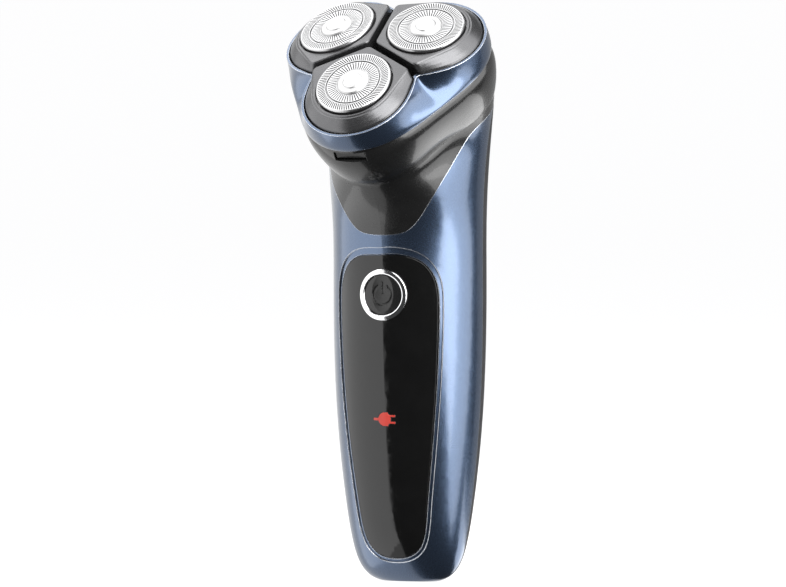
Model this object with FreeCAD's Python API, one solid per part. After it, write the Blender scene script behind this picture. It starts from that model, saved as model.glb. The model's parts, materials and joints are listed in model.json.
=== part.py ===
import FreeCAD
import Part
import math
import os
from collections import namedtuple

# Rotary electric shaver: a tapered handle of two shells, a black neck, and a three-lobed
# shaving head that leans forward. Units are millimetres. +Z runs up the handle's axis, the
# front (button side) faces -Y, and the origin is the middle of the charging socket's mouth
# in the flat underside.
#
# The head is modelled in its own frame: origin at the middle of the shaving face, z along
# the head axis and pointing out of the face, -y towards the front lobe. Each pod has a
# frame of its own as well: origin at the middle of its guard, z out of the guard, -y outward.

Vector = FreeCAD.Vector
Rotation = FreeCAD.Rotation
Placement = FreeCAD.Placement
X_AXIS = Vector(1, 0, 0)
Y_AXIS = Vector(0, 1, 0)
Z_AXIS = Vector(0, 0, 1)

# ---------------------------------------------------------------- driving dimensions
HEAD_TILT = 40.0                          # head axis from the handle's axis, degrees
HEAD_CENTRE = Vector(0, -24.1, 148.4)     # middle of the shaving face
STATIONS = {"front": 0.0, "right": 120.0, "left": 240.0}   # turned about the head axis

WALL = 2.0                                # handle shells
SEAM_Y = 1.0                              # plane where the two shells meet
FLOOR_Z = 3.0                             # inside of the handle's underside
NECK_DEPTH = 25.4                         # neck's top, measured down the head axis
GAP = 0.1                                 # assembly gap between fixed parts

# Sections of the handle and neck. Each is an oval about (y, z), leaning forward by lean
# degrees, with half width across X, half depth along its own front direction, and lobe,
# how far the three-lobed shape of the head shows in it.
Section = namedtuple("Section", "y z lean half_width half_depth lobe")
HANDLE = [
    Section(0, 0.0, 0, 8.6, 4.4, 0),
    Section(0, 1.2, 0, 11.7, 5.7, 0),
    Section(0, 3.0, 0, 13.7, 7.2, 0),
    Section(0, 6.5, 0, 15.6, 9.3, 0),
    Section(0, 12.0, 0, 17.0, 11.6, 0),
    Section(0, 23.0, 0, 18.7, 13.9, 0),
    Section(0, 42.0, 0, 20.7, 16.1, 0),
    Section(0, 62.0, 0, 21.7, 17.5, 0),
    Section(0, 82.0, 0, 21.9, 18.2, 0),
]
NECK = [
    Section(-0.2, 100.0, 5.8, 21.95, 18.8, 0),
    Section(-1.3, 109.6, 14.0, 22.3, 20.4, 0.4),
    Section(-3.2, 119.0, 24.5, 22.9, 22.3, 1.5),
]
NECK_TOP_RADIUS = 24.5                    # mean radius of the neck where the head sits
NECK_TOP_LOBE = 3.5

# Front edge of the handle's shell below the neck: x and z at the front of the handle.
COLLAR_EDGE = [(0, 97.0), (4.0, 97.0), (7.6, 97.7), (10.2, 99.8), (12.5, 102.9),
               (15.2, 107.0), (18.2, 111.5), (20.8, 115.6), (22.9, 118.0), (26.0, 118.4)]
COLLAR_RISE = 0.70                        # how fast that edge climbs towards the back
COLLAR_EDGE_Y = -18.0                     # the y that COLLAR_EDGE is given at

# Front panel outline: x and z, from the middle of its top edge to its tip.
PANEL_EDGE = [(0, 91.0), (6.5, 90.7), (11.2, 88.6), (13.9, 84.2), (14.7, 78.0), (14.5, 68.0),
              (13.9, 56.0), (12.9, 44.0), (11.6, 32.0), (10.2, 21.0), (9.0, 13.6), (7.2, 9.6),
              (4.2, 7.4), (0, 6.7)]
PANEL_SINK = 0.25                         # panel face below the handle's surface
PANEL_BACK = 1.3                          # panel back below the handle's surface
PANEL_GAP = 0.25
RECESS_MARGIN = 1.3                       # shallow step in the shell round the panel
RECESS_LIFT = 0.8                         # the step is wider by this above the panel
RECESS_DEPTH = 0.4

BUTTON_Z = 80.0
BUTTON_RADIUS = 5.5
RING_RADIUS = 7.15
BUTTON_TRAVEL = 0.5
INDICATOR_Z = 45.5

# Gear train: one pinion on the motor shaft turns three gears, one for each cutter.
MODULE = 0.5
PINION_TEETH = 18
GEAR_TEETH = 42
SPINDLE_RADIUS = MODULE * (PINION_TEETH + GEAR_TEETH) / 2
GEAR_TOP = -19.4
GEAR_THICKNESS = 3.0

# Shaving head
POD_TILT = 6.8                            # each guard leans outward
PIVOT_DEPTH = 5.2                         # pod's rocking axis below its face
POD_RADIUS_AT_FACE = SPINDLE_RADIUS + PIVOT_DEPTH * math.sin(math.radians(POD_TILT))
GROOVE_HALF = 0.95                        # half the gap between two pods
GROOVE_DRAFT = 0.13                       # how fast that gap opens below the face
GUARD_RADIUS = 10.85
GUARD_HOLE = 11.3
CHAMBER_FLOOR = -16.6
PLATE_TOP = -23.6
RIM_Z = -11.0                             # lower edge of the shroud
HINGE = Vector(0, 26.2, -11.15)           # lid hinge, in the head frame


# ---------------------------------------------------------------- general helpers
def polar(radius, degrees):
    a = math.radians(degrees)
    return radius * math.cos(a), radius * math.sin(a)


def closed_curve(points):
    """A smooth closed wire through points."""
    curve = Part.BSplineCurve()
    curve.interpolate(points, PeriodicFlag=True)
    return Part.Wire([curve.toShape()])


def polygon_face(points):
    return Part.Face(Part.makePolygon(points + [points[0]]))


def prism(points, height):
    """Straight prism on a polygon in a plane of constant z."""
    return polygon_face(points).extrude(Vector(0, 0, height))


def loft(wires, ruled=False):
    return Part.makeLoft(wires, True, ruled)


def cylinder(radius, start, end):
    """Cylinder between two points."""
    axis = end.sub(start)
    return Part.makeCylinder(radius, axis.Length, start, axis)


def tube(outer, inner, start, end):
    return cylinder(outer, start, end).cut(cylinder(inner, start, end))


def block(low, high):
    size = Vector(*high).sub(Vector(*low))
    return Part.makeBox(size.x, size.y, size.z, Vector(*low))


def turned(profile, degrees=360):
    """Solid turned about Z from (radius, z) points."""
    points = [Vector(r, 0, z) for r, z in profile]
    return polygon_face(points).revolve(Vector(0, 0, 0), Z_AXIS, degrees)


def union(shapes):
    whole = shapes[0]
    for shape in shapes[1:]:
        whole = whole.fuse(shape)
    return whole.removeSplitter()


def largest(shape):
    """The biggest solid of a shape, without shavings that a cut along a surface leaves."""
    return max(shape.Solids, key=lambda solid: solid.Volume)


def moved(shape, placement):
    """A copy of shape carried by placement."""
    copy = shape.copy()
    copy.Placement = placement.multiply(copy.Placement)
    return copy


def around(shape, degrees):
    return moved(shape, Placement(Vector(), Rotation(Z_AXIS, degrees)))


HEAD_FRAME = Placement(HEAD_CENTRE, Rotation(X_AXIS, HEAD_TILT))
POD_FRAME = Placement(Vector(0, -POD_RADIUS_AT_FACE, 0), Rotation(X_AXIS, POD_TILT))


def on_head(shape):
    return moved(shape, HEAD_FRAME)


def at_station(shape, degrees):
    """From the head frame's front station to another station, then to the handle's frame."""
    return on_head(around(shape, degrees))


def on_pod(shape, degrees):
    return at_station(moved(shape, POD_FRAME), degrees)


def save(name, shape):
    solids = shape.Solids
    volume = sum(s.Volume for s in solids)
    if not solids or not shape.isValid() or volume <= 0:
        raise ValueError("bad shape: " + name)
    whole = solids[0] if len(solids) == 1 else Part.makeCompound(solids)
    whole.exportStep("parts/" + name + ".step")
    print(f"{name:24s} solids {len(solids):2d}  faces {len(whole.Faces):4d}  {volume:9.1f} mm3")


# ---------------------------------------------------------------- outer form of the handle
def section_wire(section, inset):
    """One oval of the handle, made smaller by inset all round."""
    lean = math.radians(section.lean)
    front = Vector(0, -math.cos(lean), -math.sin(lean))
    centre = Vector(0, section.y, section.z)
    points = []
    steps = 36
    for k in range(steps):
        a = 2 * math.pi * k / steps
        bulge = section.lobe * math.cos(3 * a)
        across = (section.half_width - inset + bulge) * math.sin(a)
        forward = (section.half_depth - inset + bulge) * math.cos(a)
        points.append(centre + X_AXIS * across + front * forward)
    return closed_curve(points)


def neck_section(depth, shrink=0.0):
    """The three-lobed section at the neck's top, at a depth down the head axis."""
    centre = HEAD_FRAME.multVec(Vector(0, 0, -depth))
    radius = NECK_TOP_RADIUS - shrink
    return Section(centre.y, centre.z, HEAD_TILT, radius, radius, NECK_TOP_LOBE)


def body(inset):
    """The handle and neck as one solid, inset from the outer surface. An inset body starts
    at the floor and runs on past the neck's top, so that it cuts a cavity open there."""
    sections = HANDLE + NECK + [neck_section(NECK_DEPTH)]
    if inset >= WALL:
        sections = [s for s in sections if s.z >= FLOOR_Z] + [neck_section(NECK_DEPTH - 2.5)]
    return loft([section_wire(s, inset) for s in sections])


OUTER = body(0)
CAVITY = body(WALL)
LARGE = 80.0


def collar_cutter(drop):
    """Everything above the edge where the handle's shell ends and the neck begins, with the
    edge lowered by drop: a notch in front of the seam, and a plain slope behind it."""
    y0 = -LARGE
    base = (y0 - COLLAR_EDGE_Y) * COLLAR_RISE - drop
    edge = [Vector(x, y0, z + base) for x, z in COLLAR_EDGE]
    mirror = [Vector(-p.x, p.y, p.z) for p in reversed(edge[1:])]
    curve = Part.BSplineCurve()
    curve.interpolate(mirror + edge)
    side, top = COLLAR_EDGE[-1][0], edge[-1].z + LARGE
    corners = [edge[-1], Vector(side, y0, top), Vector(-side, y0, top), mirror[0]]
    face = Part.Face(Part.Wire([curve.toShape()] + list(Part.makePolygon(corners).Edges)))
    run = LARGE + SEAM_Y
    front = face.extrude(Vector(0, run, run * COLLAR_RISE))
    z_at_seam = COLLAR_EDGE[-1][1] + (SEAM_Y - COLLAR_EDGE_Y) * COLLAR_RISE - drop
    rear = [Vector(-side, SEAM_Y, z_at_seam),
            Vector(-side, LARGE, z_at_seam + (LARGE - SEAM_Y) * COLLAR_RISE),
            Vector(-side, LARGE, z_at_seam + 2 * LARGE),
            Vector(-side, SEAM_Y, z_at_seam + 2 * LARGE)]
    return front.fuse(polygon_face(rear).extrude(X_AXIS * (2 * side)))


COLLAR_ZONE = collar_cutter(0)


def panel_prism(grow):
    """The panel's outline grown sideways, run through the front of the handle."""
    outline = PANEL_EDGE + [(-x, z) for x, z in reversed(PANEL_EDGE) if x > 0]
    points = []
    for k, (x, z) in enumerate(outline):
        x1, z1 = outline[k - 1]
        x2, z2 = outline[(k + 1) % len(outline)]
        outward = Vector(z1 - z2, 0, x2 - x1).normalize()
        points.append(Vector(x, -LARGE, z) + outward * grow)
    return Part.Face(closed_curve(points)).extrude(Y_AXIS * LARGE)


# ---------------------------------------------------------------- handle shells
BOSSES = [(9.9, 30.0), (-9.9, 30.0), (9.9, 90.5), (-9.9, 90.5)]      # x, z
BOARD_FRONT = -9.3
BOARD_BACK = -8.1
CHASSIS_BACK = -6.6
SEAM_GAP = 0.08


INSERT_OVAL = Section(0, -1, 0, 8.0, 3.8, 0)
TONGUE_REACH = 1.6                        # rear shell's tongue, in front of the seam
TONGUE_LOW = 14.0
TONGUE_HIGH = 124.0


def shell_solid():
    """The handle below the neck as a solid, open only for the insert in its underside."""
    insert = Part.Face(section_wire(INSERT_OVAL, 0)).extrude(Z_AXIS * 6)
    return largest(OUTER.cut(COLLAR_ZONE)).cut(insert)


def panel_recess():
    step = panel_prism(RECESS_MARGIN)
    raised = moved(step, Placement(Z_AXIS * RECESS_LIFT, Rotation()))
    return step.fuse(raised).cut(body(RECESS_DEPTH))


def make_front_shell(solid):
    front = block((-LARGE, -LARGE, -5), (LARGE, SEAM_Y - SEAM_GAP, 200))
    shell = largest(solid.common(front).cut(CAVITY))
    shell = largest(shell.cut(panel_recess()))
    shell = largest(shell.cut(panel_prism(PANEL_GAP).cut(body(PANEL_BACK))))
    centre = Vector(0, 0, BUTTON_Z)
    shell = shell.cut(cylinder(RING_RADIUS + 0.15, centre - Y_AXIS * LARGE, centre))
    for x, z in BOSSES:
        post = tube(2.3, 0.85, Vector(x, -LARGE / 2, z), Vector(x, BOARD_BACK, z))
        shell = shell.fuse(post.common(body(PANEL_BACK + 0.3)))
    return largest(shell)


def make_rear_shell(solid):
    """Rear half, with a tongue along its edge that reaches behind the front shell."""
    rear = block((-LARGE, SEAM_Y, -5), (LARGE, LARGE, 200))
    shell = largest(solid.common(rear))
    reach = block((-LARGE, SEAM_Y - TONGUE_REACH, TONGUE_LOW), (LARGE, SEAM_Y + 1, TONGUE_HIGH))
    shell = shell.fuse(body(WALL + GAP).common(reach))
    return largest(shell.cut(CAVITY.cut(reach)).cut(body(WALL + 1.0).common(reach)))


def make_neck_collar():
    """The black neck: full thickness above the shells' edge, and a lip down inside them."""
    upper = largest(OUTER.common(COLLAR_ZONE))
    band = collar_cutter(4.0).cut(collar_cutter(-2.0))
    lip = largest(body(WALL + 2 * GAP).common(band))
    return largest(upper.fuse(lip).cut(body(WALL + 1.2)))


def make_front_panel(indicator):
    panel = body(PANEL_SINK).cut(body(PANEL_BACK)).common(panel_prism(0))
    centre = Vector(0, 0, BUTTON_Z)
    hole = cylinder(RING_RADIUS, centre - Y_AXIS * LARGE, centre)
    return panel.cut(hole).cut(indicator)


def make_indicator():
    """A plug symbol lying on its side: a body, two prongs and the start of a lead."""
    z = INDICATOR_Z
    flat = [
        cylinder(1.9, Vector(-0.2, -LARGE, z), Vector(-0.2, 0, z)),
        block((-0.2, -LARGE, z - 1.9), (0.9, 0, z + 1.9)),
        block((-3.6, -LARGE, z - 0.35), (-1.2, 0, z + 0.35)),
        block((0.8, -LARGE, z + 0.65), (3.0, 0, z + 1.2)),
        block((0.8, -LARGE, z - 1.2), (3.0, 0, z - 0.65)),
    ]
    return union(flat).common(body(PANEL_SINK)).cut(body(PANEL_BACK))


def make_button_ring():
    centre = Vector(0, 0, BUTTON_Z)
    ring = tube(RING_RADIUS, BUTTON_RADIUS + 0.15, centre - Y_AXIS * LARGE, centre - Y_AXIS * 16.2)
    ring = ring.common(body(-0.25))
    edges = [e for e in ring.Edges if e.BoundBox.YMax < -16.5 and e.Length > 10]
    return ring.makeFillet(0.35, edges)


def make_power_button():
    centre = Vector(0, 0, BUTTON_Z)
    cap = cylinder(BUTTON_RADIUS, centre - Y_AXIS * LARGE, centre - Y_AXIS * 16.0)
    cap = cap.common(body(0.15))
    dish = Part.makeSphere(60, Vector(0, -18.05 - 60 + 0.3, BUTTON_Z))
    cap = cap.cut(dish)
    flange = cylinder(6.2, centre - Y_AXIS * 16.0, centre - Y_AXIS * 15.3)
    stem = cylinder(1.8, centre - Y_AXIS * 15.3, centre - Y_AXIS * 14.3)
    arc_low, arc_high = 2.45, 3.05
    engrave = Vector(0, -18.3, BUTTON_Z)
    depth = Y_AXIS * 0.85
    symbol = tube(arc_high, arc_low, engrave, engrave + depth)
    gap = block((-1.25, -19, BUTTON_Z), (1.25, -17, BUTTON_Z + 4))
    bar = block((-0.3, -18.3, BUTTON_Z + 0.2), (0.3, -17.45, BUTTON_Z + 3.6))
    button = union([cap, flange, stem])
    return button.cut(symbol.cut(gap)).cut(bar)


def make_button_seal():
    centre = Vector(0, 0, BUTTON_Z)
    ring = tube(8.8, 6.5, centre - Y_AXIS * LARGE, centre - Y_AXIS * 13.8)
    return ring.common(body(WALL + 0.05))


# ---------------------------------------------------------------- inside the handle
BATTERY_Y = 1.2
BATTERY_RADIUS = 7.0
BATTERY_LOW = 26.0
BATTERY_HIGH = 76.0


def make_base_cap():
    """Insert in the underside, with the socket's mouth and a flange inside the shells."""
    plug = Part.Face(section_wire(Section(0, 0, 0, 7.9, 3.7, 0), 0)).extrude(Z_AXIS * 3.2)
    flange_oval = Part.Face(section_wire(Section(0, FLOOR_Z + 0.1, 0, 9.6, 4.3, 0), 0))
    cap = plug.fuse(flange_oval.extrude(Z_AXIS * 1.5))
    return cap.cut(stadium(9.1, 3.3, -1, 6)).removeSplitter()


def stadium(width, height, low, high):
    """Flat-sided oval bar along Z, as wide as width across X."""
    r = height / 2
    reach = width / 2 - r
    ends = [Part.makeCylinder(r, high - low, Vector(s * reach, 0, low)) for s in (-1, 1)]
    return union(ends + [block((-reach, -r, low), (reach, r, high))])


def make_charging_socket():
    """Reversible charging receptacle: a drawn shell closed at its back, and a tongue."""
    shell = stadium(8.94, 3.16, 0.3, 7.4).cut(stadium(8.34, 2.56, 0, 6.8))
    tongue = block((-3.3, -0.35, 1.6), (3.3, 0.35, 6.8))
    pads = [block((x - 0.15, 0.35, 2.4), (x + 0.15, 0.45, 6.8))
            for x in [-2.75 + 0.5 * k for k in range(12)]]
    return union([shell, tongue] + pads)


def make_chassis():
    plate = block((-11.2, BOARD_BACK, 23.5), (11.2, CHASSIS_BACK, 100.5))
    low_wall = block((-8.6, CHASSIS_BACK, 23.5), (8.6, 8.5, 25.2))
    high_wall = block((-8.6, CHASSIS_BACK, 77.8), (8.6, 8.5, 79.5))
    rails = [block((s * 8.0 - 0.7, CHASSIS_BACK, 33.0), (s * 8.0 + 0.7, -1.5, 77.8))
             for s in (-1, 1)]
    chassis = union([plate, low_wall, high_wall] + rails)
    for x, z in BOSSES:
        chassis = chassis.cut(cylinder(1.15, Vector(x, -9, z), Vector(x, 0, z)))
    for z in BOARD_SCREWS:
        chassis = chassis.cut(cylinder(0.75, Vector(0, -9, z), Vector(0, 0, z)))
    return chassis


def screw(head_radius, head_height, shank_radius, start, end):
    """Pan-head screw with a cross recess; its head's underside is at start, its tip at end."""
    axis = end.sub(start)
    length = axis.Length
    profile = [(0, head_height), (head_radius * 0.6, head_height), (head_radius, head_height * 0.5),
               (head_radius, 0), (shank_radius, 0), (shank_radius, -length + 0.6),
               (0, -length)]
    made = turned(profile)
    for turn in (0, 90):
        slot = block((-head_radius * 0.6, -0.15, head_height * 0.45),
                     (head_radius * 0.6, 0.15, head_height + 1))
        made = made.cut(around(slot, turn))
    return moved(made, Placement(start, Rotation(Z_AXIS, axis.negative())))


def make_chassis_screws():
    return Part.makeCompound([
        screw(1.9, 1.1, 0.8, Vector(x, CHASSIS_BACK, z), Vector(x, CHASSIS_BACK - 3.5, z))
        for x, z in BOSSES])


BOARD_SCREWS = (38.5, 90.0)


def make_circuit_board():
    board = block((-7.3, BOARD_FRONT, 35.0), (7.3, BOARD_BACK, 93.0))
    parts = [
        block((-5.6, BOARD_FRONT - 1.1, 52.0), (-1.6, BOARD_FRONT, 56.0)),
        block((1.2, BOARD_FRONT - 0.9, 52.5), (4.2, BOARD_FRONT, 55.5)),
        block((-6.6, BOARD_FRONT - 0.6, 61.0), (-5.0, BOARD_FRONT, 61.8)),
        block((-6.6, BOARD_FRONT - 0.6, 63.0), (-5.0, BOARD_FRONT, 63.8)),
        block((3.8, BOARD_FRONT - 1.6, 61.0), (6.6, BOARD_FRONT, 66.0)),
        block((-2.0, BOARD_FRONT - 0.7, 66.5), (0.2, BOARD_FRONT, 68.0)),
    ]
    board = union([board] + parts)
    for z in BOARD_SCREWS:
        board = board.cut(cylinder(1.0, Vector(0, -14, z), Vector(0, -7, z)))
    return board


def make_board_screws():
    return Part.makeCompound([
        screw(1.7, 0.9, 0.7, Vector(0, BOARD_FRONT, z), Vector(0, BOARD_FRONT + 2.6, z))
        for z in BOARD_SCREWS])


SWITCH_FRONT = -12.7


def make_tact_switch():
    body_block = block((-3.0, SWITCH_FRONT, BUTTON_Z - 3), (3.0, BOARD_FRONT, BUTTON_Z + 3))
    hole = cylinder(1.65, Vector(0, SWITCH_FRONT - 1, BUTTON_Z), Vector(0, -10.6, BUTTON_Z))
    legs = [block((x - 0.3, BOARD_FRONT - 0.3, BUTTON_Z + z - 0.4),
                  (x + 0.3, BOARD_FRONT, BUTTON_Z + z + 0.4))
            for x in (-3.3, 3.3) for z in (-2.2, 2.2)]
    return union([body_block.cut(hole)] + legs)


def make_switch_plunger():
    """Plunger of the tact switch, a hair behind the button's stem."""
    return cylinder(1.55, Vector(0, -14.25, BUTTON_Z), Vector(0, -11.3, BUTTON_Z))


def make_status_leds():
    """Four small lamps round the switch and one behind the charge symbol."""
    spots = [(5.4, 80.0), (-5.4, 80.0), (0, 85.4), (0, 74.6), (0, INDICATOR_Z)]
    return Part.makeCompound([block((x - 0.8, BOARD_FRONT - 0.7, z - 0.4),
                                    (x + 0.8, BOARD_FRONT, z + 0.4)) for x, z in spots])


def make_battery():
    profile = [(0, BATTERY_LOW), (6.6, BATTERY_LOW), (7.0, BATTERY_LOW + 0.5),
               (7.0, BATTERY_HIGH - 1.6), (6.5, BATTERY_HIGH - 1.0), (2.8, BATTERY_HIGH - 1.0),
               (2.8, BATTERY_HIGH), (0, BATTERY_HIGH)]
    return moved(turned(profile), Placement(Vector(0, BATTERY_Y, 0), Rotation()))


def make_battery_tabs():
    y = BATTERY_Y
    low = block((-2.5, y - 5, BATTERY_LOW - 0.3), (2.5, y + 5, BATTERY_LOW))
    high = block((-2.5, y - 5, BATTERY_HIGH), (2.5, y + 5, BATTERY_HIGH + 0.3))
    return Part.makeCompound([low, high])


# ---------------------------------------------------------------- motor and gear train
MOTOR_RADIUS = 7.75
MOTOR_LENGTH = 24.0
MOTOR_FACE = -25.4
SHAFT_RADIUS = 0.75


def make_motor_can():
    low, high = MOTOR_FACE - MOTOR_LENGTH, MOTOR_FACE
    profile = [(0, low + 1), (MOTOR_RADIUS - 0.6, low + 1), (MOTOR_RADIUS - 0.6, low),
               (MOTOR_RADIUS, low), (MOTOR_RADIUS, high - 0.8), (MOTOR_RADIUS - 0.8, high),
               (2.6, high), (2.6, high + 1.0), (0, high + 1.0)]
    can = turned(profile)
    bore = cylinder(SHAFT_RADIUS + 0.05, Vector(0, 0, low - 1), Vector(0, 0, high + 2))
    can = can.cut(bore)
    for x in (-4.5, 4.5):
        can = can.cut(cylinder(0.8, Vector(x, 0, high - 3), Vector(x, 0, high + 1)))
    return on_head(can)


def make_motor_end_cap():
    low = MOTOR_FACE - MOTOR_LENGTH
    cap = cylinder(MOTOR_RADIUS - 0.65, Vector(0, 0, low - 1.2), Vector(0, 0, low + 0.95))
    cap = cap.fuse(cylinder(2.4, Vector(0, 0, low - 2.0), Vector(0, 0, low - 1.2)))
    cap = cap.cut(cylinder(SHAFT_RADIUS + 0.05, Vector(0, 0, low - 1.0), Vector(0, 0, low + 1)))
    terminals = [block((s * 4.6 - 0.9, -0.2, low - 3.4), (s * 4.6 + 0.9, 0.2, low - 1.2))
                 for s in (-1, 1)]
    return on_head(union([cap] + terminals))


def make_motor_shaft():
    return on_head(cylinder(SHAFT_RADIUS, Vector(0, 0, MOTOR_FACE - MOTOR_LENGTH - 0.9),
                            Vector(0, 0, GEAR_TOP + 0.2)))


def gear_outline(teeth, z, thinning):
    """Spur gear outline with straight-flanked teeth, thinned so that a pair runs freely.
    One tooth points along +y."""
    pitch = MODULE * teeth / 2
    tip, root = pitch + 0.95 * MODULE, pitch - 1.15 * MODULE
    half_pitch_angle = 90.0 / teeth
    at_tip = half_pitch_angle * 0.42 * thinning
    at_root = half_pitch_angle * 1.45 * thinning
    points = []
    for k in range(teeth):
        middle = 90 + 360.0 * k / teeth
        for radius, offset in ((root, -at_root), (tip, -at_tip), (tip, at_tip), (root, at_root)):
            x, y = polar(radius, middle + offset)
            points.append(Vector(x, y, z))
    return points


def make_motor_pinion():
    """The pinion has a tooth towards each gear: its tooth count divides by three."""
    low = GEAR_TOP - GEAR_THICKNESS
    gear = prism(gear_outline(PINION_TEETH, low - 0.3, 0.86), GEAR_THICKNESS + 0.4)
    bore = cylinder(SHAFT_RADIUS, Vector(0, 0, low - 1), Vector(0, 0, GEAR_TOP + 1))
    return on_head(around(gear.cut(bore), 180.0))


def hexagon(radius, z):
    return [Vector(*polar(radius, 60 * k), z) for k in range(6)]


def hex_loft(levels):
    """Faceted solid through hexagons, given as (radius to the corners, z)."""
    wires = [Part.makePolygon(hexagon(r, z) + [hexagon(r, z)[0]]) for r, z in levels]
    return loft(wires, ruled=True)


TUBE_RADIUS = 2.5
TUBE_TOP = -11.6
TIP_SOCKET = 1.85                         # hexagonal bore in the gear's tube, to its corners
AXLE_RADIUS = 0.9


def make_drive_gear():
    """Gear with a tube standing on it. A gap between teeth faces the pinion."""
    low = GEAR_TOP - GEAR_THICKNESS
    wheel = prism(gear_outline(GEAR_TEETH, low, 0.86), GEAR_THICKNESS)
    wheel = around(wheel, 180.0 / GEAR_TEETH)
    rim_recess = tube(8.8, 4.2, Vector(0, 0, GEAR_TOP - 0.9), Vector(0, 0, GEAR_TOP + 1))
    spokes_holes = [cylinder(1.5, Vector(*polar(6.4, 60 * k + 30), low - 1),
                             Vector(*polar(6.4, 60 * k + 30), GEAR_TOP + 1)) for k in range(6)]
    wheel = wheel.cut(rim_recess)
    for hole in spokes_holes:
        wheel = wheel.cut(hole)
    stem = cylinder(TUBE_RADIUS, Vector(0, 0, low - 0.7), Vector(0, 0, TUBE_TOP))
    gear = union([wheel, stem])
    gear = gear.cut(prism(hexagon(TIP_SOCKET, GEAR_TOP - 1.6), 20))
    axle_hole = cylinder(AXLE_RADIUS + 0.04, Vector(0, 0, low - 2), Vector(0, 0, low + 0.9))
    return gear.cut(axle_hole)


TIP_LOW = -16.6
TIP_RADIUS = 1.72


def make_drive_tip():
    """Spring-loaded driver: a hexagonal slider in the gear's tube with a rounded hexagonal
    head, which turns the cutter while the pod rocks on it."""
    slider = prism(hexagon(TIP_RADIUS, TIP_LOW), 8.2)
    neck = cylinder(0.85, Vector(0, 0, TIP_LOW + 8.2), Vector(0, 0, -PIVOT_DEPTH))
    ball = hex_loft([(0.9, -PIVOT_DEPTH - 1.1), (1.95, -PIVOT_DEPTH - 0.2),
                     (1.95, -PIVOT_DEPTH + 0.2), (1.0, -PIVOT_DEPTH + 1.1)])
    return union([slider, neck, ball])


def make_tip_spring():
    """Coil spring of square wire under the driver."""
    low, high, turns = GEAR_TOP - 1.5, TIP_LOW - 0.05, 4
    rise = high - low - 0.4
    helix = Part.makeHelix(rise / turns, rise, 1.15)
    corners = [Vector(1.15 + x, 0, z) for x, z in ((-0.2, -0.2), (0.2, -0.2), (0.2, 0.2), (-0.2, 0.2))]
    section = Part.makePolygon(corners + [corners[0]])
    coil = Part.Wire(helix.Edges).makePipeShell([section], True, True)
    return moved(coil, Placement(Vector(0, 0, low + 0.2), Rotation()))


def trilobe(mean, lobe, z, steps=36):
    """Three-lobed closed wire in the head frame, with a lobe towards each station."""
    points = []
    for k in range(steps):
        a = 360.0 * k / steps
        x, y = polar(mean + lobe * math.cos(math.radians(3 * a)), a - 90)
        points.append(Vector(x, y, z))
    return closed_curve(points)


def cup(inset, low, high):
    """The head base's tapering form between two heights, inset from its outer surface."""
    levels = [(27.4, 2.9, -11.3), (28.1, 2.9, -14.6), (27.7, 3.0, -17.4), (26.5, 3.2, -21.2),
              (24.5, 3.5, -25.4)]
    whole = loft([trilobe(mean - inset, lobe, z) for mean, lobe, z in levels])
    return whole.common(block((-LARGE, -LARGE, low), (LARGE, LARGE, high)))


BASE_TOP = -11.3
KNUCKLE_RADIUS = 1.5
PIN_RADIUS = 0.6


def make_head_base():
    """Black cup under the shroud: hair chamber above its floor, gear chamber below."""
    base = cup(0, -25.4, BASE_TOP)
    base = base.cut(cup(1.6, CHAMBER_FLOOR, BASE_TOP)).cut(cup(1.6, -25.4, CHAMBER_FLOOR - 1.6))
    for turn in STATIONS.values():
        post = tube(4.2, TUBE_RADIUS + 0.3, Vector(0, -SPINDLE_RADIUS, CHAMBER_FLOOR - 1.6),
                    Vector(0, -SPINDLE_RADIUS, CHAMBER_FLOOR + 1.4))
        hole = cylinder(TUBE_RADIUS + 0.3, Vector(0, -SPINDLE_RADIUS, -30),
                        Vector(0, -SPINDLE_RADIUS, 0))
        base = base.fuse(around(post, turn)).cut(around(hole, turn))
    latch_window = block((-RELEASE_HALF - 0.15, -36, RELEASE_LOW - 0.15),
                         (RELEASE_HALF + 0.15, -24, RELEASE_HIGH + 0.15))
    hook_room = block((-4.0, -29.7, RELEASE_LOW - 0.6), (4.2, -24, 0))
    base = base.cut(latch_window).cut(hook_room)
    ears = []
    for low, high in ((-7.3, -4.3), (4.3, 7.3)):
        ears.append(cylinder(KNUCKLE_RADIUS, HINGE + X_AXIS * low, HINGE + X_AXIS * high))
        ears.append(block((low, 23.7, -15.3), (high, HINGE.y - 0.2, HINGE.z)))
        ears.append(block((low, 23.7, -13.3), (high, HINGE.y + 0.9, HINGE.z)))
    base = union([base] + ears)
    base = base.cut(cylinder(KNUCKLE_RADIUS + 0.25, HINGE - X_AXIS * 4.3, HINGE + X_AXIS * 4.3))
    base = base.cut(cylinder(PIN_RADIUS, HINGE - X_AXIS * 9, HINGE + X_AXIS * 9))
    return on_head(base)


RELEASE_HALF = 4.6
RELEASE_LOW = -14.7
RELEASE_HIGH = -12.3
RELEASE_TRAVEL = 0.8


def make_release_button():
    """Bar in the front of the head base that is pressed in to free the lid."""
    face = -29.75
    bar = block((-RELEASE_HALF, face, RELEASE_LOW), (RELEASE_HALF, face + 1.5, RELEASE_HIGH))
    edges = [e for e in bar.Edges if e.BoundBox.YMax < face + 0.01]
    return on_head(bar.makeFillet(0.3, edges))


def make_gear_plate():
    """Plate that closes the gear chamber from below and carries the motor."""
    plate = cup(1.7, -25.3, PLATE_TOP)
    plate = plate.cut(cylinder(2.7, Vector(0, 0, -30), Vector(0, 0, 0)))
    for x in (-4.5, 4.5):
        plate = plate.cut(cylinder(1.0, Vector(x, 0, -30), Vector(x, 0, 0)))
    for turn in STATIONS.values():
        seat = cylinder(AXLE_RADIUS, Vector(0, -SPINDLE_RADIUS, -30), Vector(0, -SPINDLE_RADIUS, 0))
        plate = plate.cut(around(seat, turn))
    return on_head(plate)


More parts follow.
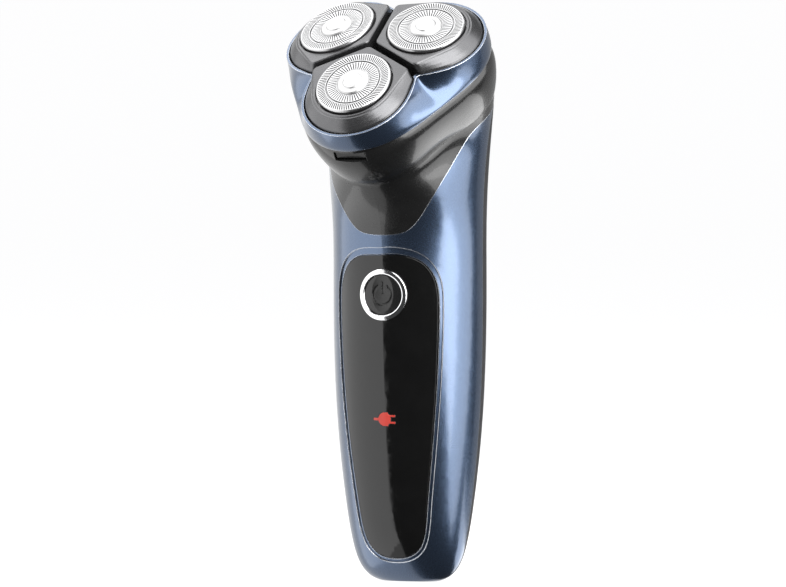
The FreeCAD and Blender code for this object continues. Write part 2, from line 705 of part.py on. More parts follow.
def make_gear_axles():
    low = GEAR_TOP - GEAR_THICKNESS
    pin = cylinder(AXLE_RADIUS, Vector(0, -SPINDLE_RADIUS, -25.3),
                   Vector(0, -SPINDLE_RADIUS, low + 0.7))
    return on_head(Part.makeCompound([around(pin, turn) for turn in STATIONS.values()]))


def make_motor_screws():
    screws = [screw(1.7, 0.6, 0.75, Vector(x, 0, PLATE_TOP), Vector(x, 0, PLATE_TOP - 4.2))
              for x in (-4.5, 4.5)]
    return on_head(Part.makeCompound(screws))


def make_spindle_seals():
    y = -SPINDLE_RADIUS
    profile_low = CHAMBER_FLOOR + 1.4
    seal = tube(3.9, TUBE_RADIUS + 0.1, Vector(0, y, profile_low), Vector(0, y, profile_low + 0.9))
    return on_head(Part.makeCompound([around(seal, turn) for turn in STATIONS.values()]))


def make_neck_seal():
    """Flat rubber ring between the gear plate and the neck's inside."""
    outer = loft([trilobe(NECK_TOP_RADIUS - 3.4, NECK_TOP_LOBE, z) for z in (-26.4, -25.45)])
    inner = loft([trilobe(NECK_TOP_RADIUS - 5.2, NECK_TOP_LOBE, z) for z in (-27.0, -25.0)])
    return on_head(outer.cut(inner))


# ---------------------------------------------------------------- shaving head
CORNER_RADIUS = 1.7
APEX_RADIUS = 1.7


def tangent_normal(c1, r1, c2, r2):
    """Outward normal of the straight side that joins two round corners, counter-clockwise."""
    run = c2.sub(c1)
    along = Vector(run).normalize()
    right = Vector(along.y, -along.x, 0)
    cosine = (r1 - r2) / run.Length
    return along * cosine + right * math.sqrt(1 - cosine * cosine)


def rounded_hull(circles, z):
    """Wire round a ring of circles, given counter-clockwise as (x, y, radius)."""
    n = len(circles)
    centres = [Vector(x, y, z) for x, y, _ in circles]
    radii = [r for _, _, r in circles]
    normals = [tangent_normal(centres[k], radii[k], centres[(k + 1) % n], radii[(k + 1) % n])
               for k in range(n)]
    edges = []
    for k in range(n):
        came, leaves = normals[k - 1], normals[k]
        start_angle = math.atan2(came.y, came.x)
        sweep = (math.atan2(leaves.y, leaves.x) - start_angle) % (2 * math.pi)
        half = start_angle + sweep / 2
        start = centres[k] + came * radii[k]
        middle = centres[k] + Vector(math.cos(half), math.sin(half), 0) * radii[k]
        end = centres[k] + leaves * radii[k]
        edges.append(Part.Arc(start, middle, end).toShape())
        following = centres[(k + 1) % n] + leaves * radii[(k + 1) % n]
        edges.append(Part.LineSegment(end, following).toShape())
    return Part.Wire(edges)


def pod_outline(radius, flank, inset, z):
    """A pod's outline in its own frame: round outside, with two straight flanks that meet
    near the head axis. flank is how far the flanks run out from there. The flanks draw back
    below the face, so that neighbouring pods clear each other as they rock."""
    groove_half = GROOVE_HALF + GROOVE_DRAFT * max(0, -z)
    apex_y = POD_RADIUS_AT_FACE - groove_half / math.sin(math.radians(60))
    fx, fy = math.sin(math.radians(60)), -math.cos(math.radians(60))
    corner = Vector(fx * flank - 0.5 * CORNER_RADIUS,
                    apex_y + fy * flank - fx * CORNER_RADIUS, 0)
    apex = apex_y - APEX_RADIUS / math.sin(math.radians(60))
    return rounded_hull([(0, 0, radius - inset), (corner.x, corner.y, CORNER_RADIUS - inset),
                         (0, apex, APEX_RADIUS - inset),
                         (-corner.x, corner.y, CORNER_RADIUS - inset)], z)


# Pod sections: radius, reach of the flanks from the head axis, and height in the pod's frame.
POD_LEVELS = [(12.2, 15.6, 0.0), (13.3, 15.9, -0.9), (14.3, 16.2, -1.8), (15.0, 16.5, -2.6),
              (15.3, 16.7, -3.4), (15.3, 16.7, -7.2)]
POD_CHAMFER = 0.3
POD_WALL = 1.0
POD_TOP = 1.5


def pod_form(inset, low, high):
    """The pod's flared body between two heights of its frame, straight above and below."""
    levels = [(r, f, z) for r, f, z in POD_LEVELS if low < z < high]
    first, last = POD_LEVELS[0], POD_LEVELS[-1]
    def at(z):
        if z >= first[2]:
            return first[0], first[1], z
        if z <= last[2]:
            return last[0], last[1], z
        for (r1, f1, z1), (r2, f2, z2) in zip(POD_LEVELS, POD_LEVELS[1:]):
            if z2 <= z <= z1:
                t = (z - z1) / (z2 - z1)
                return r1 + t * (r2 - r1), f1 + t * (f2 - f1), z
    levels = [at(high)] + levels + [at(low)]
    return loft([pod_outline(r, f, inset, z) for r, f, z in levels], ruled=True)


STUD_RADIUS = 0.75


def make_pod():
    skirt_end = POD_LEVELS[-1][2]
    upper_r, upper_f, _ = POD_LEVELS[0]
    top = loft([pod_outline(upper_r, upper_f, POD_CHAMFER, 0),
                pod_outline(upper_r, upper_f, 0, -POD_CHAMFER)], ruled=True)
    pod = top.fuse(pod_form(0, skirt_end, -POD_CHAMFER))
    pod = pod.cut(pod_form(POD_WALL, skirt_end - 1, -POD_TOP))
    pod = pod.cut(cylinder(GUARD_HOLE, Vector(0, 0, -5), Vector(0, 0, 5)))
    studs = [cylinder(STUD_RADIUS, Vector(s * 11.1, 0, -PIVOT_DEPTH), Vector(s * 14.8, 0, -PIVOT_DEPTH))
             for s in (-1, 1)]
    return union([pod] + studs)


GUARD_FACE = 1.0
GUARD_SHEET = 0.45
INNER_TRACK = (4.8, 7.35)
OUTER_TRACK = (8.15, 10.35)
FLANGE_TOP = -1.65


def make_guard():
    """Steel guard: a flanged cap with two ring tracks of shaving slots and a groove between."""
    t = GUARD_SHEET
    profile = [(0, GUARD_FACE), (7.5, GUARD_FACE), (7.6, GUARD_FACE - 0.3), (7.9, GUARD_FACE - 0.3),
               (8.0, GUARD_FACE), (10.5, GUARD_FACE), (10.75, GUARD_FACE - 0.16),
               (GUARD_RADIUS, GUARD_FACE - 0.5), (GUARD_RADIUS, FLANGE_TOP - 0.7),
               (GUARD_RADIUS - t, FLANGE_TOP - 0.7), (GUARD_RADIUS - t, GUARD_FACE - 0.9),
               (10.25, GUARD_FACE - t),
               (8.1, GUARD_FACE - t), (7.95, GUARD_FACE - t - 0.3), (7.55, GUARD_FACE - t - 0.3),
               (7.4, GUARD_FACE - t), (0, GUARD_FACE - t)]
    flange = tube(11.8, GUARD_RADIUS - t, Vector(0, 0, FLANGE_TOP - 0.7), Vector(0, 0, FLANGE_TOP))
    guard = turned(profile).fuse(flange.common(pod_form(POD_WALL + 0.3, -4, -1)))
    slots = []
    for (low, high), count, width, skew in ((INNER_TRACK, 54, 0.26, 8), (OUTER_TRACK, 90, 0.28, 18)):
        slot = block((low, -width / 2, -1), (high, width / 2, 3))
        middle = Vector((low + high) / 2, 0, 0)
        slot.rotate(middle, Z_AXIS, skew)
        slots += [around(slot, 360.0 * k / count) for k in range(count)]
    return largest(guard.cut(Part.makeCompound(slots)))


def make_guard_cap():
    """Polished disc on the middle of the guard, with a raised button."""
    profile = [(0, GUARD_FACE), (4.6, GUARD_FACE), (4.6, GUARD_FACE + 0.15), (4.2, GUARD_FACE + 0.4),
               (2.9, GUARD_FACE + 0.5), (2.6, GUARD_FACE + 0.72), (1.4, GUARD_FACE + 0.84),
               (0, GUARD_FACE + 0.88)]
    return turned(profile)


BLADES = 12
PLATE_Z = -1.5
HUB_END = -6.3
HUB_SOCKET = 2.15                         # hexagonal socket, to its corners


def make_blade():
    """Rotating cutter: a thin steel ring with a short blade for each track, standing up."""
    ring = tube(10.0, 4.3, Vector(0, 0, PLATE_Z), Vector(0, 0, PLATE_Z + 0.4))
    top = GUARD_FACE - GUARD_SHEET - 0.12
    fins = []
    for k in range(BLADES):
        for low, high, shift in ((4.9, 7.1, 0), (8.4, 9.95, 15)):
            fin = block((low, -0.3, PLATE_Z + 0.2), (high, 0.3, top))
            fins.append(around(fin, 360.0 * k / BLADES + shift))
    windows = [around(tube(8.2, 7.4, Vector(0, 0, PLATE_Z - 1), Vector(0, 0, PLATE_Z + 1))
                      .common(block((0, -1.3, -5), (12, 1.3, 5))), 360.0 * k / BLADES)
               for k in range(BLADES)]
    blade = union([ring] + fins)
    return blade.cut(Part.makeCompound(windows))


def make_blade_hub():
    """Plastic carrier of the cutter, with a hexagonal socket for the driver."""
    profile = [(0, PLATE_Z + 1.0), (4.2, PLATE_Z + 1.0), (4.2, PLATE_Z), (7.0, PLATE_Z),
               (7.0, PLATE_Z - 0.8), (3.9, PLATE_Z - 1.4), (3.6, HUB_END), (0, HUB_END)]
    hub = turned(profile)
    straight = -PIVOT_DEPTH - 0.25
    mouth = hex_loft([(HUB_SOCKET + 1.0, HUB_END - 0.1), (HUB_SOCKET, straight)])
    return hub.cut(prism(hexagon(HUB_SOCKET, straight), 1.9)).cut(mouth)


FRAME_TOP = -10.2
FRAME_BOTTOM = -11.3


def make_cutter_frame():
    """Three-armed carrier inside the shroud. Two lugs under each pod hold its studs."""
    frame = loft([trilobe(23.2, 2.4, z) for z in (FRAME_BOTTOM, FRAME_TOP)])
    for turn in STATIONS.values():
        hole = cylinder(8.2, Vector(0, -SPINDLE_RADIUS, -20), Vector(0, -SPINDLE_RADIUS, 0))
        frame = frame.cut(around(hole, turn))
    frame = frame.cut(cylinder(3.0, Vector(0, 0, -20), Vector(0, 0, 0)))
    lugs = []
    for s in (-1, 1):
        low, high = sorted((s * 11.3, s * 12.5))
        lug = block((low, -1.9, -12.0), (high, 1.9, -PIVOT_DEPTH + 1.2))
        lugs.append(lug.cut(cylinder(STUD_RADIUS + 0.08, Vector(-20, 0, -PIVOT_DEPTH),
                                     Vector(20, 0, -PIVOT_DEPTH))))
    pair = moved(Part.makeCompound(lugs), POD_FRAME)
    keep = block((-LARGE, -LARGE, FRAME_BOTTOM), (LARGE, LARGE, 5))
    pair = pair.common(keep)
    all_lugs = [solid for turn in STATIONS.values() for solid in around(pair, turn).Solids]
    return on_head(union([frame] + all_lugs))


# Shroud sections, from its lower edge up: height, how far the section has drawn in from the
# rim's shape to the crest's, and how far it swells outward.
SHROUD_LEVELS = [(RIM_Z, 0.0, 0.0), (-10.2, 0.07, 0.25), (-8.6, 0.36, 0.35), (-6.8, 0.70, 0.3),
                 (-5.0, 0.91, 0.15), (-3.2, 1.0, 0.0), (-1.6, 1.0, 0.0)]
RIM_RADIUS = 28.15
RIM_LOBE = 2.95
CREST_CIRCLE = 16.3                       # the crest follows a circle round each pod
CREST_OFFSET = 15.1                       # distance of those circles' centres from the head axis
CUSP_RADIUS = 18.2                        # the crest's corners are rounded off to about this
SHROUD_WALL = 1.5
SHROUD_EDGE = -3.1                        # upper edge, in each pod's frame
POD_GAP = 0.45


def crest_radius(angle):
    """Radius of the crest at an angle from the front lobe: three circles, smoothed where two
    of them meet."""
    a = math.radians((angle + 60) % 120 - 60)
    across = CREST_OFFSET * math.sin(a)
    circle = CREST_OFFSET * math.cos(a) + math.sqrt(CREST_CIRCLE ** 2 - across ** 2)
    power = 14
    return (circle ** power + CUSP_RADIUS ** power) ** (1 / power)


def shroud_section(draw, swell, z):
    """Closed wire whose shape lies between the rim's and the crest's."""
    points = []
    for k in range(72):
        angle = 5.0 * k
        rim = RIM_RADIUS + RIM_LOBE * math.cos(math.radians(3 * angle))
        radius = rim + draw * (crest_radius(angle) - rim) + swell
        points.append(Vector(*polar(radius, angle - 90), z))
    return closed_curve(points)


def above_pod_edge():
    """The third of the space round the front pod that is above the shroud's upper edge."""
    slab = moved(block((-60, -60, SHROUD_EDGE), (60, 60, 20)), POD_FRAME)
    corners = [Vector(0, 0, -20)] + [Vector(*polar(60, a), -20) for a in (-150, -90, -30)]
    return slab.common(prism(corners, 40))


def make_shroud():
    """Blue ring round the pods: it rises to a point between every two of them and stays low
    outside each, and its sides sweep out from those points to the rim."""
    mound = loft([shroud_section(draw, swell, z) for z, draw, swell in SHROUD_LEVELS])
    hollow = [shroud_section(0.0, -SHROUD_WALL, RIM_Z - 1.0)]
    hollow += [shroud_section(draw, swell - SHROUD_WALL, z - SHROUD_WALL)
               for z, draw, swell in SHROUD_LEVELS[1:]]
    shroud = mound.cut(loft(hollow))
    shroud = shroud.cut(cylinder(CUSP_RADIUS - 0.6, Vector(0, 0, -30), Vector(0, 0, 10)))
    room = moved(pod_form(-POD_GAP, -9.4, 6), POD_FRAME)
    upper = above_pod_edge()
    for turn in STATIONS.values():
        turned = around(shroud, -turn).cut(room).cut(upper)
        shroud = around(turned, turn)
    shroud = largest(shroud)
    for low, high in ((-7.6, -4.0), (4.0, 7.6)):
        clearance = cylinder(KNUCKLE_RADIUS + 0.25, HINGE + X_AXIS * low, HINGE + X_AXIS * high)
        shroud = shroud.cut(clearance)
    knuckle = cylinder(KNUCKLE_RADIUS, HINGE - X_AXIS * 4.0, HINGE + X_AXIS * 4.0)
    web = block((-4.0, 24.8, -10.9), (4.0, HINGE.y + 0.6, -9.7))
    hook = [
        block((-3.6, -30.2, RIM_Z), (3.6, -29.1, RIM_Z + 0.8)),
        block((-3.6, -29.6, RIM_Z - 1.1), (3.6, -28.8, RIM_Z + 0.4)),
        block((-3.6, -29.6, RIM_Z - 1.1), (3.6, -26.0, RIM_Z - 0.2)),
        block((-3.6, -27.0, RELEASE_LOW + 0.2), (3.6, -26.0, RIM_Z - 0.2)),
    ]
    shroud = union([shroud, knuckle, web] + hook)
    shroud = shroud.cut(cylinder(PIN_RADIUS + 0.05, HINGE - X_AXIS * 9, HINGE + X_AXIS * 9))
    return on_head(shroud)


def make_hinge_pin():
    return on_head(cylinder(PIN_RADIUS, HINGE - X_AXIS * 7.3, HINGE + X_AXIS * 7.3))


# ---------------------------------------------------------------- write every node
def write_handle():
    solid = shell_solid()
    indicator = make_indicator()
    save("front_shell", make_front_shell(solid))
    save("rear_shell", make_rear_shell(solid))
    save("neck_collar", make_neck_collar())
    save("front_panel", make_front_panel(indicator))
    save("charge_indicator", indicator)
    save("button_ring", make_button_ring())
    save("power_button", make_power_button())
    save("button_seal", make_button_seal())
    save("base_cap", make_base_cap())
    save("charging_socket", make_charging_socket())
    save("chassis", make_chassis())
    save("chassis_screws", make_chassis_screws())
    save("circuit_board", make_circuit_board())
    save("board_screws", make_board_screws())
    save("tact_switch", make_tact_switch())
    save("switch_plunger", make_switch_plunger())
    save("status_leds", make_status_leds())
    save("battery_cell", make_battery())
    save("battery_tabs", make_battery_tabs())


def write_drive():
    save("motor_can", make_motor_can())
    save("motor_end_cap", make_motor_end_cap())
    save("motor_shaft", make_motor_shaft())
    save("motor_pinion", make_motor_pinion())
    save("gear_plate", make_gear_plate())
    save("gear_axles", make_gear_axles())
    save("motor_screws", make_motor_screws())
    save("neck_seal", make_neck_seal())
    save("head_base", make_head_base())
    save("spindle_seals", make_spindle_seals())
    save("hinge_pin", make_hinge_pin())
    save("release_button", make_release_button())
    gear, tip, spring = make_drive_gear(), make_drive_tip(), make_tip_spring()
    out = Placement(Vector(0, -SPINDLE_RADIUS, 0), Rotation())
    for name, turn in STATIONS.items():
        save("drive_gear_" + name, at_station(moved(gear, out), turn))
        save("drive_tip_" + name, at_station(moved(tip, out), turn))
        save("tip_spring_" + name, at_station(moved(spring, out), turn))


def write_head():
    save("head_shroud", make_shroud())
    save("cutter_frame", make_cutter_frame())
    pieces = {"pod_": make_pod(), "guard_": make_guard(), "guard_cap_": make_guard_cap(),
              "blade_": make_blade(), "blade_hub_": make_blade_hub()}
    for prefix, shape in pieces.items():
        for name, turn in STATIONS.items():
            save(prefix + name, on_pod(shape, turn))


os.makedirs("parts", exist_ok=True)
write_handle()
write_drive()
write_head()
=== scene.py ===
import json
import math
import bpy
from mathutils import Matrix, Vector

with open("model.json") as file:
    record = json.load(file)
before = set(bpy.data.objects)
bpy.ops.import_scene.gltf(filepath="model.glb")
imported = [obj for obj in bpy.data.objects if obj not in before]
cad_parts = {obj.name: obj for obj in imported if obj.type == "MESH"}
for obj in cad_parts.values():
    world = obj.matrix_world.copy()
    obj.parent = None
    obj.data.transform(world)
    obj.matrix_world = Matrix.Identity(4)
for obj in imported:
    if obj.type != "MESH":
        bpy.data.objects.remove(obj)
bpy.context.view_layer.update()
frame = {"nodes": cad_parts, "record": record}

NODES = frame["nodes"]


# ---------------------------------------------------------------- shader helpers
class Shader:
    """A node material in the making. Sizes are in millimetres of the object's own space."""

    def __init__(self, name):
        self.mat = bpy.data.materials.new(name)
        self.mat.use_nodes = True
        self.tree = self.mat.node_tree
        self.bsdf = self.tree.nodes["Principled BSDF"]
        self.coords = self.node("ShaderNodeTexCoord").outputs["Object"]

    def node(self, kind, **values):
        made = self.tree.nodes.new(kind)
        for key, value in values.items():
            setattr(made, key, value)
        return made

    def link(self, source, target):
        self.tree.links.new(source, target)

    def scaled(self, scale, vector=None):
        """Coordinates in millimetres, stretched by scale on each axis."""
        mapping = self.node("ShaderNodeMapping")
        self.link(vector or self.coords, mapping.inputs["Vector"])
        mapping.inputs["Scale"].default_value = [1000.0 * s for s in scale]
        return mapping.outputs["Vector"]

    def noise(self, size, detail=3.0, stretch=(1, 1, 1), rough=0.55, vector=None):
        """Noise with features of about size millimetres."""
        tex = self.node("ShaderNodeTexNoise")
        scale = [1.0 / (size * s) for s in stretch]
        self.link(self.scaled(scale, vector), tex.inputs["Vector"])
        tex.inputs["Scale"].default_value = 1.0
        tex.inputs["Detail"].default_value = detail
        tex.inputs["Roughness"].default_value = rough
        return tex.outputs["Fac"]

    def remap(self, value, low, high, start=0.3, end=0.7):
        """value from start..end to low..high."""
        ranged = self.node("ShaderNodeMapRange")
        self.link(value, ranged.inputs["Value"])
        for key, number in (("From Min", start), ("From Max", end), ("To Min", low), ("To Max", high)):
            ranged.inputs[key].default_value = number
        return ranged.outputs["Result"]

    def math(self, operation, a, b=None):
        made = self.node("ShaderNodeMath", operation=operation)
        for slot, value in zip(made.inputs, (a, b)):
            if value is None:
                continue
            if isinstance(value, (int, float)):
                slot.default_value = value
            else:
                self.link(value, slot)
        return made.outputs["Value"]

    def mix(self, factor, a, b):
        made = self.node("ShaderNodeMix", data_type="RGBA")
        for slot, value in ((made.inputs["Factor"], factor), (made.inputs[6], a), (made.inputs[7], b)):
            if isinstance(value, (int, float)):
                slot.default_value = value
            elif isinstance(value, tuple):
                slot.default_value = (*value, 1.0)
            else:
                self.link(value, slot)
        return made.outputs[2]

    def bump(self, height, depth, strength=1.0, normal=None):
        """Bump whose full height is depth millimetres."""
        made = self.node("ShaderNodeBump")
        self.link(height, made.inputs["Height"])
        made.inputs["Distance"].default_value = depth / 1000.0
        made.inputs["Strength"].default_value = strength
        if normal:
            self.link(normal, made.inputs["Normal"])
        return made.outputs["Normal"]

    def edges(self, radius, samples=4):
        """Normal that rounds sharp edges to radius millimetres."""
        made = self.node("ShaderNodeBevel", samples=samples)
        made.inputs["Radius"].default_value = radius / 1000.0
        return made.outputs["Normal"]

    def openness(self, distance):
        """0 in narrow gaps and 1 in the open, judged over distance millimetres."""
        made = self.node("ShaderNodeAmbientOcclusion", samples=6)
        made.inputs["Distance"].default_value = distance / 1000.0
        return made.outputs["AO"]

    def set(self, **values):
        """Put numbers, colours or node outputs on the shader's sockets, and return the material."""
        names = {"color": "Base Color", "metallic": "Metallic", "roughness": "Roughness",
                 "normal": "Normal", "specular": "Specular IOR Level", "coat": "Coat Weight",
                 "coat_roughness": "Coat Roughness", "coat_ior": "Coat IOR",
                 "glow": "Emission Color", "glow_strength": "Emission Strength"}
        for key, value in values.items():
            slot = self.bsdf.inputs[names[key]]
            if isinstance(value, (int, float)):
                slot.default_value = value
            elif isinstance(value, tuple):
                slot.default_value = (*value, 1.0)
            else:
                self.link(value, slot)
        return self.mat


def painted_edge_highlight(s, radius, start=0.985, end=0.80):
    """Mask for a painted highlight: 1 on sharp edges and 0 on flat surfaces, with the normal that rounds
    them.
    """
    rounded = s.edges(radius, 6)
    flat = s.node("ShaderNodeNewGeometry").outputs["Normal"]
    turn = s.node("ShaderNodeVectorMath", operation="DOT_PRODUCT")
    s.link(rounded, turn.inputs[0])
    s.link(flat, turn.inputs[1])
    return s.remap(turn.outputs["Value"], 0.0, 1.0, start, end), rounded


def slotted_steel(name, color, rough, gap=0.5):
    """Fine-ground steel with painted shade: it goes dark and rougher inside its narrow slots."""
    s = Shader(name)
    grind = s.noise(0.05, 4.0)
    bright = s.mix(s.remap(grind, 0.0, 1.0), tuple(c * 0.85 for c in color), color)
    # painted shade: narrow gaps and slots are mixed towards near-black
    painted_shade_factor = s.remap(s.openness(gap), 0.0, 1.0, 0.45, 0.85)
    tone = s.mix(painted_shade_factor, (0.012, 0.012, 0.012), bright)
    gloss = s.math("ADD", s.remap(grind, rough - 0.05, rough + 0.06), s.remap(painted_shade_factor, 0.25, 0.0, 0.0, 1.0))
    return s.set(color=tone, metallic=1.0, roughness=gloss, normal=s.bump(grind, 0.003, 1.0, s.edges(0.03)))


def metallic_lacquer():
    """Satin blue lacquer: fine flakes under a clear coat, and a painted highlight that turns sharp edges pale
    grey.
    """
    s = Shader("metallic_lacquer")
    flakes = s.noise(0.12, 2.0)
    cloud = s.noise(9.0, 2.0)
    edge, rounded = painted_edge_highlight(s, 0.32)
    color = s.mix(s.remap(flakes, 0.0, 1.0), (0.064, 0.098, 0.167), (0.083, 0.122, 0.196))
    color = s.mix(s.remap(cloud, 0.0, 0.25), color, (0.078, 0.113, 0.181))
    # painted highlight: sharp edges mixed towards pale grey
    color = s.mix(edge, color, (0.80, 0.82, 0.86))
    rough = s.math("ADD", s.remap(flakes, 0.21, 0.29), s.remap(cloud, -0.01, 0.02))
    normal = s.bump(s.noise(0.16, 2.0), 0.0016, 1.0, rounded)
    return s.set(color=color, metallic=0.92, roughness=rough, normal=normal, coat=1.0,
                 coat_roughness=0.14, coat_ior=1.45)


def moulded(name, color, lighter, rough, grain=0.3, depth=0.012, coat=0.0, specular=0.5,
            metallic=0.0):
    """Moulded plastic: grain of that size and depth, gloss variation and faint handling smears."""
    s = Shader(name)
    grains = s.noise(grain, 3.0)
    smear = s.noise(14.0, 4.0, (1, 1, 0.5))
    tone = s.mix(s.remap(s.noise(6.0, 3.0), 0.0, 1.0), color, lighter)
    gloss = s.math("ADD", s.remap(grains, rough - 0.03, rough + 0.04), s.remap(smear, -0.02, 0.04))
    normal = s.bump(grains, depth, 1.0, s.edges(0.3))
    return s.set(color=tone, roughness=gloss, normal=normal, coat=coat, coat_roughness=0.05,
                 specular=specular, metallic=metallic)


def ground_metal(name, color, rough, depth=0.004):
    """Metal with a fine ground surface."""
    s = Shader(name)
    lines = s.noise(0.05, 4.0)
    tone = s.mix(s.remap(lines, 0.0, 1.0), tuple(c * 0.8 for c in color), color)
    gloss = s.remap(lines, rough - 0.06, rough + 0.08)
    return s.set(color=tone, metallic=1.0, roughness=gloss, normal=s.bump(lines, depth, 1.0, s.edges(0.08)))


MATERIALS = {
    "lacquer": metallic_lacquer(),
    "grip": moulded("grip_plastic", (0.012, 0.012, 0.013), (0.018, 0.018, 0.020), 0.5, grain=0.35, depth=0.03,
                   specular=0.3),
    "collar": moulded("collar_plastic", (0.006, 0.006, 0.006), (0.009, 0.009, 0.009), 0.24, grain=0.5,
                      depth=0.002, coat=0.4),
    "panel": moulded("panel_gloss", (0.004, 0.004, 0.004), (0.005, 0.005, 0.005), 0.07, grain=1.5,
                     depth=0.0006),
    "pod": moulded("pod_satin", (0.11, 0.11, 0.114), (0.13, 0.13, 0.134), 0.26, grain=0.25, depth=0.003,
                   metallic=0.85),
    "button": moulded("button_plastic", (0.008, 0.008, 0.008), (0.012, 0.012, 0.012), 0.2, depth=0.003),
    "chrome": ground_metal("ring_chrome", (0.93, 0.93, 0.94), 0.1, depth=0.001),
    "red": moulded("symbol_red", (0.46, 0.030, 0.018), (0.50, 0.034, 0.021), 0.3),
    "rubber": moulded("seal_rubber", (0.02, 0.02, 0.02), (0.03, 0.03, 0.03), 0.6),
    "guard": slotted_steel("guard_steel", (0.56, 0.56, 0.565), 0.28),
    "disc": ground_metal("guard_disc", (0.52, 0.52, 0.52), 0.36),
    # cutter steel is darker than the guard; part of that darker tone is painted shade for the blades under
    # the foil
    "blade": slotted_steel("cutter_steel", (0.30, 0.30, 0.305), 0.35),
    "steel": ground_metal("plain_steel", (0.5, 0.5, 0.5), 0.3),
    "white": moulded("white_acetal", (0.7, 0.7, 0.67), (0.76, 0.76, 0.73), 0.4),
    "dark": moulded("inner_plastic", (0.05, 0.05, 0.055), (0.07, 0.07, 0.075), 0.5),
    "green": moulded("board_mask", (0.01, 0.12, 0.04), (0.015, 0.16, 0.05), 0.3),
    "sleeve": moulded("battery_sleeve", (0.02, 0.1, 0.25), (0.03, 0.12, 0.3), 0.25),
    "brass": ground_metal("pinion_brass", (0.7, 0.5, 0.2), 0.3),
}

FINISH = {
    "blue_shell": "lacquer", "rear_grip": "grip", "black_gloss": "panel", "black_collar": "collar",
    "pod_black": "pod", "bright_ring": "chrome", "button_black": "button", "red_symbol": "red",
    "seal_rubber": "rubber", "guard_steel": "guard", "guard_disc": "disc", "cutter_steel": "blade",
    "white_plastic": "white", "inner_plastic": "dark", "circuit_green": "green",
    "switch_black": "dark", "led_lens": "white", "battery_sleeve": "sleeve", "nickel_strip": "steel",
    "motor_steel": "steel", "pinion_brass": "brass", "screw_steel": "steel",
    "spring_steel": "steel", "socket_metal": "steel",
}


def dress_nodes():
    """Give every node the material that its slot stands for."""
    for part in frame["record"]["subparts"]:
        obj = NODES[part["node"]]
        obj.data.materials.clear()
        obj.data.materials.append(MATERIALS[FINISH[part["material_slot"]]])


# ---------------------------------------------------------------- studio, in metres and degrees
CAMERA_AZIMUTH = 25.3
CAMERA_ELEVATION = 2.0
FRAME_WIDTH = 0.21833                     # width of the picture, measured at the object
AIM = Vector((0, 0, 0.0798))
AIM_SHIFT = 0.004722                      # how far left of the object's axis the camera aims
MIDDLE = Vector((0, 0, 0.1))              # what the soft boxes surround


def pale_material():
    """White paper, lit from behind as well."""
    s = Shader("backdrop_paper")
    fibres = s.noise(0.8, 4.0)
    tone = s.mix(s.remap(fibres, 0.0, 1.0), (0.12, 0.12, 0.12), (0.14, 0.14, 0.14))
    s.mat.cycles.emission_sampling = "NONE"
    return s.set(color=tone, roughness=s.remap(fibres, 0.75, 0.85), normal=s.bump(fibres, 0.02),
                 glow=(0.97, 0.97, 0.975), glow_strength=1.0)


def make_backdrop():
    """Round floor that curves up into a wall. Only the camera sees it, so it doesn't fog
    the dark parts."""
    radius, bend, rise, around, bend_steps = 4.4, 1.0, 4.5, 96, 12
    profile = [(0.4, 0.0), (radius - bend, 0.0)]
    for k in range(1, bend_steps + 1):
        a = math.pi / 2 * k / bend_steps
        profile.append((radius - bend + bend * math.sin(a), bend - bend * math.cos(a)))
    profile.append((radius, rise))
    verts = [(0, 0, 0)]
    for r, z in profile:
        for k in range(around):
            a = 2 * math.pi * k / around
            verts.append((r * math.cos(a), r * math.sin(a), z))
    faces = [(0, 1 + k, 1 + (k + 1) % around) for k in range(around)]
    for ring in range(len(profile) - 1):
        low, high = 1 + ring * around, 1 + (ring + 1) * around
        for k in range(around):
            other = (k + 1) % around
            faces.append((low + k, high + k, high + other, low + other))
    mesh = bpy.data.meshes.new("backdrop")
    mesh.from_pydata(verts, [], faces)
    mesh.polygons.foreach_set("use_smooth", [True] * len(faces))
    obj = bpy.data.objects.new("backdrop", mesh)
    bpy.context.collection.objects.link(obj)
    obj.location = (0, 0, -0.0002)
    obj.visible_glossy = False
    obj.visible_diffuse = False
    obj.visible_shadow = False
    mesh.materials.append(pale_material())


def direction(azimuth, elevation=0.0):
    """Unit vector from the object; azimuth 0 is in front of it and 90 to its right."""
    a, e = math.radians(azimuth), math.radians(elevation)
    return Vector((math.sin(a) * math.cos(e), -math.cos(a) * math.cos(e), math.sin(e)))


def area_light(name, place, facing, across, size, radiance):
    """Soft box with its width along across. Its surface is as bright as radiance."""
    data = bpy.data.lights.new(name, "AREA")
    data.shape = "RECTANGLE"
    data.size, data.size_y = size
    data.energy = radiance * math.pi * size[0] * size[1]
    obj = bpy.data.objects.new(name, data)
    bpy.context.collection.objects.link(obj)
    back = -facing.normalized()
    side = (across - across.dot(back) * back).normalized()
    turn = Matrix((side, back.cross(side), back)).transposed()
    obj.matrix_world = Matrix.Translation(place) @ turn.to_4x4()
    obj.visible_camera = False


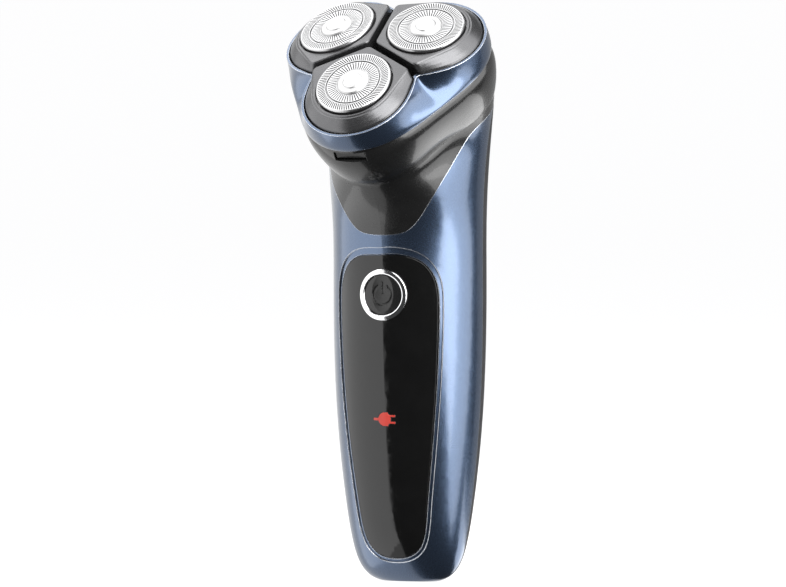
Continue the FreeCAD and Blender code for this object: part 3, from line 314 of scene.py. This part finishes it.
def side_box(name, edge, inward, spread, distance, start, end, radiance):
    """Soft box that begins in the direction edge and goes on inward for spread degrees.
    start and end are its ends, in metres along the edge."""
    half = math.radians(spread / 2)
    middle = edge * math.cos(half) + inward * math.sin(half)
    across = inward * math.cos(half) - edge * math.sin(half)
    place = MIDDLE + middle * distance + across.cross(middle) * (start + end) / 2
    area_light(name, place, -middle, across, (2 * distance * math.tan(half), end - start), radiance)


def make_lights():
    """A long wall of light on the left, brighter in front, and a slanting box on the right whose
    near part is the brightest. A low box behind on the right lights the cup under the head."""
    left, left_inward = direction(-22), direction(-112)
    right, right_inward = direction(47), direction(137, 48)
    side_box("left_wall", left, left_inward, 145, 0.3, -1.8, 0.4, 0.85)
    side_box("left_key", left, left_inward, 75, 0.5, -0.6, 0.65, 0.95)
    side_box("right_fill", right, right_inward, 80, 0.8, -0.9, 0.95, 2.8)
    side_box("right_key", right, right_inward, 42, 0.7, -0.8, 0.4, 3.2)
    side_box("low_box", direction(112), direction(202), 62, 0.8, 0.27, 0.72, 2.6)
    side_box("rear_box", direction(135), direction(225), 65, 0.9, -0.6, 0.5, 0.35)
    area_light("top_box", Vector((-0.25, 0.1, 1.0)), Vector((0.2, -0.08, -1)), Vector((1, 0, 0)),
               (1.2, 1.2), 2.4)


def make_camera():
    """Long lens, slightly above the table and to the object's right."""
    data = bpy.data.cameras.new("camera")
    data.lens = 500
    data.sensor_width = 36
    obj = bpy.data.objects.new("camera", data)
    bpy.context.collection.objects.link(obj)
    away = direction(CAMERA_AZIMUTH, CAMERA_ELEVATION)
    right = direction(CAMERA_AZIMUTH + 90)
    distance = FRAME_WIDTH * data.lens / data.sensor_width
    obj.location = AIM - right * AIM_SHIFT + away * distance
    obj.rotation_euler = (-away).to_track_quat("-Z", "Y").to_euler()
    data.clip_start, data.clip_end = 0.05, 20
    bpy.context.scene.camera = obj


def make_world():
    """Faint even light, so that nothing goes fully black."""
    world = bpy.data.worlds.new("studio")
    bpy.context.scene.world = world
    world.use_nodes = True
    world.node_tree.nodes["Background"].inputs["Color"].default_value = (0.95, 0.97, 1.0, 1)
    world.node_tree.nodes["Background"].inputs["Strength"].default_value = 0.05


dress_nodes()
make_camera()
make_world()
make_backdrop()
make_lights()
bpy.context.scene.view_settings.view_transform = "Standard"
